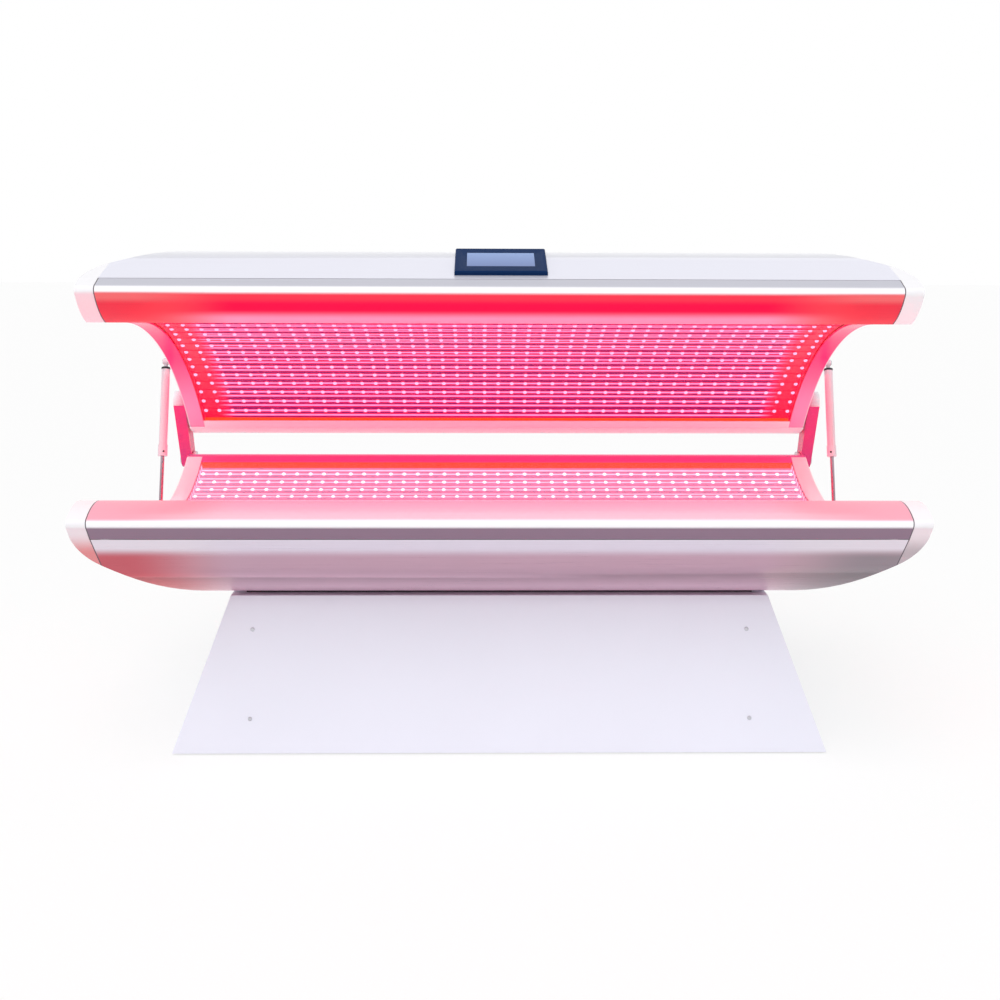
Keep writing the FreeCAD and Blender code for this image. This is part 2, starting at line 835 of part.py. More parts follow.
panel_rear, panel_right = pedestal_panels()
nodes["pedestal_panel_rear"] = panel_rear
nodes["pedestal_panel_front"] = flip_y(panel_rear)
pair("pedestal_panel", panel_right)
nodes["pedestal_frame"] = pedestal_frame()
foot_y = pedestal_top_half_y - pedestal_fold
pair("foot_front", foot(leg_x, -foot_y))
pair("foot_rear", foot(leg_x, foot_y))
nodes["foot_middle"] = foot(0, 0)
nodes["plinth_spacer"] = plinth_spacer()

cover = shell_cover()
pan = shell_pan()
right_cap = cap()
for half_name, sagitta, place in (
    ("bed", bed_sagitta, lambda shape: shape),
    ("canopy", canopy_sagitta, to_canopy),
):
    right_frame = end_frame(sagitta)
    nodes[half_name + "_cover"] = place(cover)
    nodes[half_name + "_pan"] = place(pan)
    nodes[half_name + "_rim_front"] = place(front_rim(sagitta, seam_x))
    nodes[half_name + "_rim_rear"] = place(flip_y(front_rim(sagitta, frame_out)))
    pair(half_name + "_cap", place(right_cap))
    pair(half_name + "_end_frame", place(right_frame))
    nodes[half_name + "_acrylic"] = place(acrylic(sagitta))
    nodes[half_name + "_led_panel"] = place(led_panel(sagitta))
    pair(half_name + "_fan_frame", place(set_fan(fan_frame(), 1)))
    pair(half_name + "_fan_rotor", place(set_fan(fan_rotor(), 1)))

nodes["touch_bezel"] = to_canopy(touch_bezel())
nodes["touch_screen"] = to_canopy(touch_screen())
pair("hinge_bracket", hinge_bracket())
pair("hinge_pin", hinge_pin())
pair("hinge_arm", hinge_arm())
pair("strut_cylinder", strut_cylinder())
pair("strut_rod", strut_rod())
pair("strut_stud_low", strut_stud(stud_low))
pair("strut_stud_top", strut_stud(stud_top))
nodes["power_supply_right"] = power_supply(1)
nodes["power_supply_left"] = power_supply(-1)
nodes["power_inlet"] = power_inlet()
nodes["switch_frame"] = switch_frame()
nodes["switch_rocker"] = switch_rocker()

for name, shape in nodes.items():
    shape.exportStep("parts/" + name + ".step")
    print(name, len(shape.Solids), round(shape.Volume), shape.isValid())
print("nodes", len(nodes))
print("hinge", hinge_y, hinge_z, "stud low", stud_low, "stud top", stud_top)
print("strut open", math.dist(stud_low, stud_top))
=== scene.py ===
import json
import math

import bmesh
import bpy
from mathutils import Matrix, Vector


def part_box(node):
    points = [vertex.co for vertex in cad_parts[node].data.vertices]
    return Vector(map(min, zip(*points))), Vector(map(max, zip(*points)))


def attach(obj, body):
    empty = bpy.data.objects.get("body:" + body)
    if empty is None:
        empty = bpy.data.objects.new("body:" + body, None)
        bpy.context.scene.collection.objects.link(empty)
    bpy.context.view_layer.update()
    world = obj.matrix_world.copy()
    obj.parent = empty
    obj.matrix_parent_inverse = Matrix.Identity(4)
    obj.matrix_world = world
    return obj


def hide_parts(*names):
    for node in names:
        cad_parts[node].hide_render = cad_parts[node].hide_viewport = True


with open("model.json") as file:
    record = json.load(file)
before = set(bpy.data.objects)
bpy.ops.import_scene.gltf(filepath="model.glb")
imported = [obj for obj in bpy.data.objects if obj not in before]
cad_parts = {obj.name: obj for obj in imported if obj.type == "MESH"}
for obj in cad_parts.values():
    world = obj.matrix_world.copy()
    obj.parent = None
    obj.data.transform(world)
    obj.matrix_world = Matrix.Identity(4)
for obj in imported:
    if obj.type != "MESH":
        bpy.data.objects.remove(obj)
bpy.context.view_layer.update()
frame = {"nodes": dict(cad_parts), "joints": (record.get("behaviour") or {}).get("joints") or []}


# Pedestal panels: four folded steel sheets that slope out to the floor, powder coated in satin white.
# They hang on the tube frame, and button-head screws near the corners hold each one.

def link(tree, output, target):
    tree.links.new(output, target)


def add_node(tree, kind, **settings):
    """New node with its own settings; a setting named for an input socket goes to that socket."""
    node = tree.nodes.new(kind)
    for name, value in settings.items():
        if hasattr(node, name):
            setattr(node, name, value)
        else:
            node.inputs[name.replace("_", " ")].default_value = value
    return node


def object_place(tree):
    """Place on the object itself."""
    return add_node(tree, "ShaderNodeTexCoord").outputs["Object"]


def maths(tree, operation, *terms):
    """Result of a maths node; each term is a number or comes from another node."""
    node = add_node(tree, "ShaderNodeMath", operation=operation)
    for target, term in zip(node.inputs, terms):
        if isinstance(term, (int, float)):
            target.default_value = term
        else:
            link(tree, term, target)
    return node.outputs[0]


def scaled(tree, colour, factor):
    """Colour made brighter or darker by a factor."""
    node = add_node(tree, "ShaderNodeVectorMath", operation="SCALE")
    link(tree, colour, node.inputs[0])
    link(tree, factor, node.inputs["Scale"])
    return node.outputs[0]


def new_group(name, inputs, outputs):
    """Empty shader node group with named value or colour sockets."""
    group = bpy.data.node_groups.new(name, "ShaderNodeTree")
    for socket, kind in inputs:
        group.interface.new_socket(socket, in_out="INPUT", socket_type="NodeSocket" + kind)
    for socket, kind in outputs:
        group.interface.new_socket(socket, in_out="OUTPUT", socket_type="NodeSocket" + kind)
    return group, group.nodes.new("NodeGroupInput").outputs, group.nodes.new("NodeGroupOutput").inputs


def make_paint_skin():
    """Sprayed or moulded skin: fine orange peel, slow drifts of tone and slightly uneven gloss."""
    inputs = (("Colour", "Color"), ("Drift", "Float"), ("Roughness", "Float"), ("Grain", "Float"))
    outputs = (("Colour", "Color"), ("Roughness", "Float"), ("Height", "Float"))
    group, given, result = new_group("paint_skin", inputs, outputs)
    place = object_place(group)
    peel = add_node(group, "ShaderNodeTexNoise", Detail=3.0, Roughness=0.55)
    drift = add_node(group, "ShaderNodeTexNoise", Scale=2.6, Detail=2.0)
    link(group, place, peel.inputs["Vector"])
    link(group, place, drift.inputs["Vector"])
    link(group, given["Grain"], peel.inputs["Scale"])
    centred = maths(group, "SUBTRACT", drift.outputs["Fac"], 0.5)
    gain = maths(group, "MULTIPLY_ADD", centred, given["Drift"], 1.0)
    link(group, scaled(group, given["Colour"], gain), result["Colour"])
    unevenness = 0.12
    gloss = maths(group, "MULTIPLY_ADD", peel.outputs["Fac"], unevenness, given["Roughness"])
    link(group, gloss, result["Roughness"])
    link(group, peel.outputs["Fac"], result["Height"])
    return group


def new_finish(name, **plain):
    """New material; what is plain all over is set on its shader's own sockets."""
    finish = bpy.data.materials.new(name)
    finish.use_nodes = True
    shader = finish.node_tree.nodes["Principled BSDF"]
    for socket, value in plain.items():
        shader.inputs[socket.replace("_", " ")].default_value = value
    return finish, shader


def skin_finish(name, group, bump, given, **plain):
    """Material whose colour, roughness and bump come from a skin group with these values."""
    finish, shader = new_finish(name, **plain)
    tree = finish.node_tree
    skin = add_node(tree, "ShaderNodeGroup", node_tree=group, name="skin")
    for socket, value in given.items():
        skin.inputs[socket].default_value = value
    link(tree, skin.outputs["Colour"], shader.inputs["Base Color"])
    link(tree, skin.outputs["Roughness"], shader.inputs["Roughness"])
    relief = add_node(tree, "ShaderNodeBump", Strength=bump, Distance=0.001)
    link(tree, skin.outputs["Height"], relief.inputs["Height"])
    link(tree, relief.outputs["Normal"], shader.inputs["Normal"])
    return finish


def carry_over(nodes, finish):
    """Gives CAD pieces their finish."""
    for node in nodes:
        frame["nodes"][node].data.materials.clear()
        frame["nodes"][node].data.materials.append(finish)


def new_piece(name, shape, finish, body):
    """Makes a finished shape an object that rides on a body."""
    mesh = bpy.data.meshes.new(name)
    shape.to_mesh(mesh)
    shape.free()
    mesh.materials.append(finish)
    piece = bpy.data.objects.new(name, mesh)
    bpy.context.scene.collection.objects.link(piece)
    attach(piece, body)
    return piece


def out_of(point, outward):
    """Place on a surface, its Z pointing out of it."""
    return Matrix.Translation(point) @ Vector(outward).to_track_quat("Z", "Y").to_matrix().to_4x4()


def add_turned(shape, place, section, steps, ring=False):
    """Adds a closed form turned about the place's Z; a ring's section closes on itself."""
    turned = bmesh.new()
    points = [turned.verts.new((across, 0, along)) for across, along in section]
    followers = points[1:] + points[:1] if ring else points[1:]
    edges = [turned.edges.new(ends) for ends in zip(points, followers)]
    bmesh.ops.spin(
        turned,
        geom=points + edges,
        cent=(0, 0, 0),
        axis=(0, 0, 1),
        angle=math.tau,
        steps=steps,
        use_merge=True,
    )
    bmesh.ops.remove_doubles(turned, verts=turned.verts, dist=merge_distance)
    bmesh.ops.recalc_face_normals(turned, faces=turned.faces)
    bmesh.ops.transform(turned, matrix=place, verts=turned.verts)
    mesh = bpy.data.meshes.new("turned")
    turned.to_mesh(mesh)
    turned.free()
    shape.from_mesh(mesh)
    bpy.data.meshes.remove(mesh)


def add_screw(shape, place, radius):
    """Adds a button-head screw with a round socket."""
    section = ((0, 0.2), (0.42, 0.2), (0.42, 0.55), (0.7, 0.48), (0.94, 0.24), (1, 0), (1, -0.3), (0, -0.3))
    add_turned(shape, place, [(across * radius, up * radius) for across, up in section], screw_steps)


merge_distance = 0.00001
screw_steps = 14
paint_skin = make_paint_skin()
white_sheet = skin_finish(
    "white_powder_coat",
    paint_skin,
    0.08,
    {"Colour": (0.79, 0.79, 0.885, 1), "Drift": 0.05, "Roughness": 0.32, "Grain": 420},
)
panels = ("pedestal_panel_front", "pedestal_panel_rear", "pedestal_panel_left", "pedestal_panel_right")
carry_over(panels, white_sheet)

zinc = skin_finish(
    "zinc_plated_steel",
    paint_skin,
    0.05,
    {"Colour": (0.56, 0.56, 0.6, 1), "Drift": 0.2, "Roughness": 0.25, "Grain": 900},
    Metallic=0.9,
)
pedestal_low, pedestal_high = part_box("pedestal_panel_front")
panel_rise = pedestal_high.z - pedestal_low.z
long_flare = 0.125
short_flare = 0.127
screw_radius = 0.0052
long_screw_x = 0.597
short_screw_y = 0.13
long_screw_heights = (0.28, 0.08)
short_screw_heights = (0.315, 0.053)
pedestal_screws = bmesh.new()
for side in (-1, 1):
    for height in long_screw_heights:
        down = (pedestal_high.z - height) / panel_rise
        y = pedestal_low.y + long_flare * (1 - down)
        for front in (1, -1):
            spot = Vector((side * long_screw_x, y * front, height))
            add_screw(pedestal_screws, out_of(spot, (0, -panel_rise * front, long_flare)), screw_radius)
    for height in short_screw_heights:
        down = (pedestal_high.z - height) / panel_rise
        x = pedestal_high.x - short_flare * (1 - down)
        for y in (-short_screw_y, short_screw_y):
            spot = Vector((side * x, y, height))
            add_screw(pedestal_screws, out_of(spot, (side * panel_rise, 0, short_flare)), screw_radius)
new_piece("pedestal_screws", pedestal_screws, zinc, "base")


# Pedestal frame, feet and plinth spacer: a welded square-tube frame in dark grey paint, on rubber feet.
# The black rubber spacer on the frame's rails carries the bed and leaves the dark shadow gap.

frame_paint = skin_finish(
    "dark_frame_paint",
    paint_skin,
    0.1,
    {"Colour": (0.035, 0.035, 0.038, 1), "Drift": 0.3, "Roughness": 0.45, "Grain": 500},
)
carry_over(("pedestal_frame",), frame_paint)
rubber = skin_finish(
    "black_rubber",
    paint_skin,
    0.25,
    {"Colour": (0.018, 0.018, 0.022, 1), "Drift": 0.4, "Roughness": 0.6, "Grain": 700},
)
feet = ("foot_front_left", "foot_front_right", "foot_rear_left", "foot_rear_right", "foot_middle")
carry_over(feet + ("plinth_spacer",), rubber)


# Covers: the visible front of each shell, one rolled sheet, brushed silver on the bed, pearl on the canopy.
# Each is bent over its shell's keel, runs up into the boat-shaped ends and slides in under the front rim.
# The lamps' and the studio's light is tinted on by zone, on covers, rims, caps and end frames alike.

def make_brushed_skin():
    """Metal brushed along the bed: long fine streaks in tone, gloss and height."""
    inputs = (("Colour", "Color"), ("Streak", "Float"), ("Roughness", "Float"))
    outputs = (("Colour", "Color"), ("Roughness", "Float"), ("Height", "Float"))
    group, given, result = new_group("brushed_skin", inputs, outputs)
    stretch = add_node(group, "ShaderNodeMapping", Scale=(1.2, 160, 160))
    link(group, object_place(group), stretch.inputs["Vector"])
    streaks = add_node(group, "ShaderNodeTexNoise", Scale=3.0, Detail=5.0, Roughness=0.65)
    link(group, stretch.outputs["Vector"], streaks.inputs["Vector"])
    centred = maths(group, "SUBTRACT", streaks.outputs["Fac"], 0.5)
    gain = maths(group, "MULTIPLY_ADD", centred, given["Streak"], 1.0)
    link(group, scaled(group, given["Colour"], gain), result["Colour"])
    gloss = maths(group, "MULTIPLY_ADD", centred, given["Streak"], given["Roughness"])
    link(group, gloss, result["Roughness"])
    link(group, streaks.outputs["Fac"], result["Height"])
    return group


def smooth_over(node, finish, body, ease=0.0):
    """Stands a copy of a CAD piece in for it, with smooth curves and, where asked for, eased edges."""
    shape = bmesh.new()
    shape.from_mesh(frame["nodes"][node].data)
    bmesh.ops.remove_doubles(shape, verts=shape.verts, dist=merge_distance)
    flat = math.radians(0.2)
    bmesh.ops.dissolve_limit(shape, angle_limit=flat, verts=shape.verts, edges=shape.edges)
    corner = math.radians(32)
    if ease:
        sharp = [edge for edge in shape.edges if edge.is_manifold and edge.calc_face_angle() > corner]
        bmesh.ops.bevel(
            shape,
            geom=sharp,
            offset=ease,
            affect="EDGES",
            segments=2,
            profile=0.5,
            material=-1,
            clamp_overlap=True,
        )
    piece = new_piece(node + "_finished", shape, finish, body)
    piece.data.shade_smooth()
    piece.data.set_sharp_from_angle(angle=corner)
    if ease:
        weight = piece.modifiers.new("even_shading", "WEIGHTED_NORMAL")
        weight.keep_sharp = True
    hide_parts(node)
    return piece


def ramp(tree, value, start, stop, low=0.0, high=1.0, smooth=False):
    """Value carried over from one span to another and held beyond its ends."""
    node = add_node(tree, "ShaderNodeMapRange", interpolation_type="SMOOTHSTEP" if smooth else "LINEAR")
    for socket, number in (("From Min", start), ("From Max", stop), ("To Min", low), ("To Max", high)):
        node.inputs[socket].default_value = number
    link(tree, value, node.inputs["Value"])
    return node.outputs["Result"]


def make_shell_zones():
    """Masks for parts of a shell that the light tints, by their place on the closed shell."""
    pairs = (("Top", "Above Nose"), ("Brow", "Brow"), ("Cap", "Under"), ("Keel", "Lower"), ("Foot", "Keel"))
    zones = ("Above Nose", "Below Nose", "Brow", "Lip", "Fore", "Lower", "Keel", "Under", "Seam", "Inboard")
    zones += tuple(f"{side} {part}" for side in ("Left", "Right") for part, zone in pairs)
    inputs = (("Place", "Vector"), ("Outer Face", "Float"))
    group, given, result = new_group("shell_zones", inputs, [(zone, "Float") for zone in zones])
    apart = add_node(group, "ShaderNodeSeparateXYZ")
    link(group, given["Place"], apart.inputs[0])
    x, y, z = apart.outputs
    along = maths(group, "ABSOLUTE", x)
    spans = (
        ("Above Nose", z, -0.044, -0.037),
        ("Below Nose", z, -0.053, -0.06),
        ("Brow", z, -0.034, -0.025),
        ("Lip", maths(group, "ABSOLUTE", y), 0.385, 0.352),
        ("Fore", y, 0.29, 0.0),
        ("Lower", z, -0.112, -0.142),
        ("Keel", z, -0.18, -0.235),
        ("Under", z, -0.07, -0.13),
        ("Seam", along, 0.9172, 0.9182),
        ("Inboard", maths(group, "SUBTRACT", given["Outer Face"], along), 0.0005, 0.004),
    )
    masks = {zone: ramp(group, value, start, stop, smooth=True) for zone, value, start, stop in spans}
    end_start, end_full = 0.6, 0.86
    for side, outward in (("Left", -1), ("Right", 1)):
        end = ramp(group, x, outward * end_start, outward * end_full, smooth=True)
        for part, zone in pairs:
            masks[f"{side} {part}"] = maths(group, "MULTIPLY", end, masks[zone])
    for zone, mask in masks.items():
        link(group, mask, result[zone])
    return group


def mix_colour(tree, mask, first, second):
    """Colour that goes from the first to the second by a mask."""
    mix = add_node(tree, "ShaderNodeMix", data_type="RGBA")
    link(tree, mask, mix.inputs["Factor"])
    colour_a, colour_b, colour_out = mix.inputs[6], mix.inputs[7], mix.outputs[2]
    for socket, colour in ((colour_a, first), (colour_b, second)):
        if isinstance(colour, tuple):
            socket.default_value = colour
        else:
            link(tree, colour, socket)
    return colour_out


def tint(finish, canopy, tints, outer_face=1.0, inboard=None):
    """Paints light and shade onto zones of a finish in turn, found on the bed or on the canopy turned back
    over the bed.
    """
    tree = finish.node_tree
    skin = tree.nodes["skin"]
    place = add_node(tree, "ShaderNodeMapping", vector_type="TEXTURE", Location=(0, 0, parting_z))
    if canopy:
        place.inputs["Location"].default_value = swing @ Vector((0, 0, parting_z))
        place.inputs["Rotation"].default_value = (open_angle, 0, 0)
        place.inputs["Scale"].default_value = (1, 1, -1)
    link(tree, object_place(tree), place.inputs["Vector"])
    zones = add_node(tree, "ShaderNodeGroup", node_tree=shell_zones)
    zones.inputs["Outer Face"].default_value = outer_face
    link(tree, place.outputs["Vector"], zones.inputs["Place"])
    plain = tuple(skin.inputs["Colour"].default_value)
    colour = inboard or plain
    for zone, tone in tints:
        colour = mix_colour(tree, zones.outputs[zone], colour, tone)
    if inboard:
        colour = mix_colour(tree, zones.outputs["Inboard"], plain, colour)
    link(tree, colour, skin.inputs["Colour"])
    return zones


hinge = next(joint for joint in frame["joints"] if joint["name"] == "canopy_hinge")
hinge_place = Vector(hinge["pos_m"])
open_angle = math.radians(hinge["range_deg"][0])
rim_crown = 0.0006
lip_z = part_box("bed_rim_front")[1].z - rim_crown
closed_gap = 0.028
parting_z = lip_z + closed_gap / 2
to_hinge = Matrix.Translation(hinge_place)
swing = to_hinge @ Matrix.Rotation(open_angle, 4, "X") @ to_hinge.inverted()
to_parting = Matrix.Translation((0, 0, parting_z))
to_canopy = swing @ to_parting @ Matrix.Scale(-1, 4, (0, 0, 1)) @ to_parting.inverted()
halves = (("bed", "base", Matrix.Identity(4)), ("canopy", "canopy", to_canopy))

shell_zones = make_shell_zones()
brushed_skin = make_brushed_skin()
# The bed sheet's plain mauve grey is partly its own colour and partly painted shade and lamp light.
belly_metal = skin_finish(
    "brushed_silver_sheet",
    brushed_skin,
    0.04,
    {"Colour": (0.76, 0.69, 0.77, 1), "Streak": 0.16, "Roughness": 0.3},
)
seam_shadow = (0.12, 0.1, 0.12, 1)
# Painted reflections and shade on the belly: darker lower band, lighter keel, red left end, grey right end,
# dark seam line.
belly_painted_light_and_shade = (
    ("Lower", (0.58, 0.37, 0.44, 1)),
    ("Keel", (1.0, 0.67, 0.79, 1)),
    ("Left Keel", (0.55, 0.11, 0.14, 1)),
    ("Left Foot", (0.8, 0.13, 0.15, 1)),
    ("Right Keel", (0.3, 0.245, 0.28, 1)),
    ("Right Foot", (0.34, 0.27, 0.31, 1)),
    ("Seam", seam_shadow),
)
belly_zones = tint(belly_metal, False, belly_painted_light_and_shade)
belly_tree = belly_metal.node_tree
both_feet = maths(belly_tree, "ADD", belly_zones.outputs["Left Foot"], belly_zones.outputs["Right Foot"])
dulled = ramp(belly_tree, both_feet, 0, 1, low=0.9, high=0.2)
link(belly_tree, dulled, belly_tree.nodes["Principled BSDF"].inputs["Metallic"])
smooth_over("bed_cover", belly_metal, "base")
cover_white = skin_finish(
    "lacquered_pearl_sheet",
    brushed_skin,
    0.03,
    {"Colour": (0.8, 0.8, 0.89, 1), "Streak": 0.06, "Roughness": 0.34},
    Metallic=0.5,
)
# The canopy cover's keel is painted lighter against the shade it stands in.
tint(cover_white, True, (("Keel", (0.96, 0.96, 1.0, 1)),))
smooth_over("canopy_cover", cover_white, "canopy")


# Pans: the folded sheets behind each cover, closing the shell's flat side and its rear, with the fan vents.
# They are powder coated as the pedestal is, and a row of screws along the rear edge holds each to its rim.

def set_on_half(shape, placed):
    """Moves a form drawn on the bed to its half; as the canopy's is mirrored, faces are turned out again."""
    bmesh.ops.transform(shape, matrix=placed, verts=shape.verts)
    bmesh.ops.recalc_face_normals(shape, faces=shape.faces)


smooth_over("bed_pan", white_sheet, "base")
# The canopy's pan takes a lighter copy of the same coat: painted light where the tilted pan faces away from
# the light.
canopy_pan_lit_coat = white_sheet.copy()
canopy_pan_lit_coat.name = "canopy_pan_coat_painted_light"
canopy_pan_lit_coat.node_tree.nodes["skin"].inputs["Colour"].default_value = (0.87, 0.87, 0.945, 1)
smooth_over("canopy_pan", canopy_pan_lit_coat, "canopy")

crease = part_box("bed_pan")[1]
face_angle = math.radians(49)
pan_screw_drop = 0.016
pan_screw_pitch = 0.2
pan_screw_count = 9
face_normal = Vector((0, math.sin(face_angle), -math.cos(face_angle)))
face_down = Vector((0, -math.cos(face_angle), -math.sin(face_angle)))
for half, body, placed in halves:
    pan_screws = bmesh.new()
    for index in range(pan_screw_count):
        x = (index - (pan_screw_count - 1) / 2) * pan_screw_pitch
        spot = Vector((x, crease.y, crease.z)) + face_down * pan_screw_drop
        add_screw(pan_screws, out_of(spot, face_normal), screw_radius)
    set_on_half(pan_screws, placed)
    new_piece(half + "_pan_screws", pan_screws, zinc, body)


# Rims: hollow bullnose extrusions of brushed aluminium along the long edges of both shells.
# Each has a flange over the acrylic and a ledge under it, and is screwed to the shell from inside.

# Silver is the metal's own colour. The white nose is a painted highlight, and the bed's mauve band under it
# is a painted reflection of shaded floor.
silver = (0.58, 0.58, 0.65, 1)
nose_painted_highlight = (0.96, 0.95, 0.98, 1)
mauve = (0.27, 0.175, 0.245, 1)
rose = (0.9, 0.74, 0.84, 1)
magenta = (0.8, 0.14, 0.4, 1)
coral = (0.88, 0.045, 0.09, 1)
pink = (1.0, 0.52, 0.64, 1)
pale = (1.0, 0.93, 0.98, 1)
deep_rose = (0.9, 0.42, 0.52, 1)
ember = (0.9, 0.16, 0.17, 1)
crimson = (0.85, 0.0, 0.075, 1)
scarlet = (0.87, 0.04, 0.075, 1)
# The rose, magenta, coral, crimson, pink, pale and end colours are the lamps' light, painted on as
# reflections and glow.
for half, edge, nose, below, above, brow, lip, ends, metal in (
    ("bed", "front", nose_painted_highlight, mauve, rose, rose, rose, (deep_rose, deep_rose), 0.5),
    ("bed", "rear", silver, silver, rose, rose, magenta, None, 0.6),
    ("canopy", "front", nose_painted_highlight, silver, coral, crimson, pink, (ember, scarlet), 0.7),
    ("canopy", "rear", silver, silver, pale, pale, pale, None, 0.05),
):
    brushed_rim = skin_finish(
        f"{half}_{edge}_rim_aluminium",
        brushed_skin,
        0.05,
        {"Colour": nose, "Streak": 0.16, "Roughness": 0.4},
        Metallic=metal,
    )
    rim_painted_light = [("Below Nose", below), ("Above Nose", above), ("Brow", brow), ("Lip", lip)]
    if ends:
        rim_painted_light += [("Left Top", ends[0]), ("Right Top", ends[0])]
        rim_painted_light += [("Left Brow", ends[1]), ("Right Brow", ends[1])]
    rim_painted_light.append(("Seam", seam_shadow))
    tint(brushed_rim, half == "canopy", rim_painted_light)
    smooth_over(f"{half}_rim_{edge}", brushed_rim, "base" if half == "bed" else "canopy")


# End caps and end frames: glossy white moulded plastic.
# A cap closes each end of the front rim and cover, a plug each end of the rear rim,
# and an end frame each end of the lit hollow.

def moulded_white(name, coat=0.25, specular=0.5):
    return skin_finish(
        name,
        paint_skin,
        0.03,
        {"Colour": (0.88, 0.87, 0.9, 1), "Drift": 0.04, "Roughness": 0.16, "Grain": 260},
        Coat_Weight=coat,
        Coat_Roughness=0.08,
        Specular_IOR_Level=specular,
    )


white_plastic = moulded_white("glossy_white_plastic")
frame_plastic = {
    "bed": moulded_white("bed_frame_plastic"),
    "canopy": moulded_white("canopy_frame_plastic", coat=0.05, specular=0.25),
}
frame_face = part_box("bed_end_frame_right")[1].x
# The lamps' light is painted on the white end frames: magenta to the front of the canopy's, pink on their
# inner sides.
canopy_frame_painted_glow = (("Fore", (0.9, 0.012, 0.2, 1)),)
bed_frame_painted_glow = (("Inboard", (0.9, 0.82, 0.88, 1)),)
canopy_frame_painted_inner_glow = (0.9, 0.38, 0.62, 1)
tint(frame_plastic["canopy"], True, canopy_frame_painted_glow, frame_face, canopy_frame_painted_inner_glow)
tint(frame_plastic["bed"], False, bed_frame_painted_glow, frame_face)
cap_plastic = {"bed": moulded_white("bed_cap_plastic"), "canopy": moulded_white("canopy_cap_plastic")}
# Bed caps: painted shade under the nose, a painted red reflection at the left end, painted grey shade at the
# right.
bed_cap_painted_light = (
    ("Below Nose", (0.86, 0.74, 0.79, 1)),
    ("Left Cap", (0.75, 0.22, 0.23, 1)),
    ("Right Cap", (0.5, 0.41, 0.45, 1)),
)
# The canopy's left cap has painted lamp glow.
canopy_cap_painted_glow = (("Left Top", (0.95, 0.69, 0.75, 1)),)
tint(cap_plastic["bed"], False, bed_cap_painted_light)
tint(cap_plastic["canopy"], True, canopy_cap_painted_glow)
moulded_edge = 0.0015
for half, body, _ in halves:
    for side in ("left", "right"):
        smooth_over(f"{half}_cap_{side}", cap_plastic[half], body, moulded_edge)
        smooth_over(f"{half}_end_frame_{side}", frame_plastic[half], body, moulded_edge)

plug_section = (
    (0.3684, 0.5424),
    (0.4067, 0.5424),
    (0.4237, 0.5666),
    (0.4276, 0.576),
    (0.4187, 0.589),
    (0.3922, 0.6025),
    (0.3684, 0.609),
)
plug_depth = 0.008
plug_length = 0.00776
plug_edge = 0.0008
for half, body, placed in halves:
    plugs = bmesh.new()
    for side in (-1, 1):
        inner_x = side * (frame_face - plug_depth)
        face = plugs.faces.new([plugs.verts.new((inner_x, y, z)) for y, z in plug_section])
        raised = bmesh.ops.extrude_face_region(plugs, geom=[face])["geom"]
        corners = [part for part in raised if isinstance(part, bmesh.types.BMVert)]
        bmesh.ops.translate(plugs, vec=(side * plug_length, 0, 0), verts=corners)
        bmesh.ops.bevel(
            plugs,
            geom=[edge for edge in plugs.edges if all(vert in corners for vert in edge.verts)],
            offset=plug_edge,
            affect="EDGES",
            segments=2,
            profile=0.5,
            material=-1,
        )
    set_on_half(plugs, placed)
    new_piece(half + "_rim_plugs", plugs, white_plastic, body)


# Lamp panels: red-coated plates folded along the hollow, one flat with a raised lamp strip for each row.
# Rows of small clear lenses stand on the strips; lit, the plates glow magenta between pale pink dots.
# A thin curved strip closes each end of the space between plate and acrylic.

def make_lamp_rows():
    """Masks for a lamp panel: glowing lines on and between its rows, its two ends, and its long edges."""
    inputs = (
        ("Place", "Vector"),
        ("Turn", "Float"),
        ("Last Row", "Float"),
        ("End", "Float"),
        ("Back", "Float"),
    )
    outputs = (("Lines", "Float"), ("Ends", "Float"), ("Edges", "Float"), ("Lit", "Float"))
    group, given, result = new_group("lamp_rows", inputs, outputs)
    apart = add_node(group, "ShaderNodeSeparateXYZ")
    link(group, given["Place"], apart.inputs[0])
    x, y, z = apart.outputs
    angle = maths(group, "ARCTAN2", y, maths(group, "ABSOLUTE", z))
    row = maths(group, "DIVIDE", angle, given["Turn"])
    half_rows = maths(group, "MULTIPLY", row, 2.0)
    off_line = maths(group, "SUBTRACT", half_rows, maths(group, "ROUND", half_rows))
    line_core, line_edge = 0.07, 0.24
    distance = maths(group, "ABSOLUTE", off_line)
    link(group, ramp(group, distance, line_core, line_edge, low=1.0, high=0.0, smooth=True), result["Lines"])
    past_end = maths(group, "SUBTRACT", maths(group, "ABSOLUTE", x), given["End"])
    end_fade = 0.05
    link(group, ramp(group, past_end, 0.0, end_fade, smooth=True), result["Ends"])
    edge = maths(group, "GREATER_THAN", maths(group, "ABSOLUTE", row), given["Last Row"])
    link(group, edge, result["Edges"])
    flat = add_node(group, "ShaderNodeCombineXYZ")
    link(group, y, flat.inputs["Y"])
    link(group, z, flat.inputs["Z"])
    reach = add_node(group, "ShaderNodeVectorMath", operation="LENGTH")
    link(group, flat.outputs[0], reach.inputs[0])
    link(group, maths(group, "LESS_THAN", reach.outputs["Value"], given["Back"]), result["Lit"])
    return group


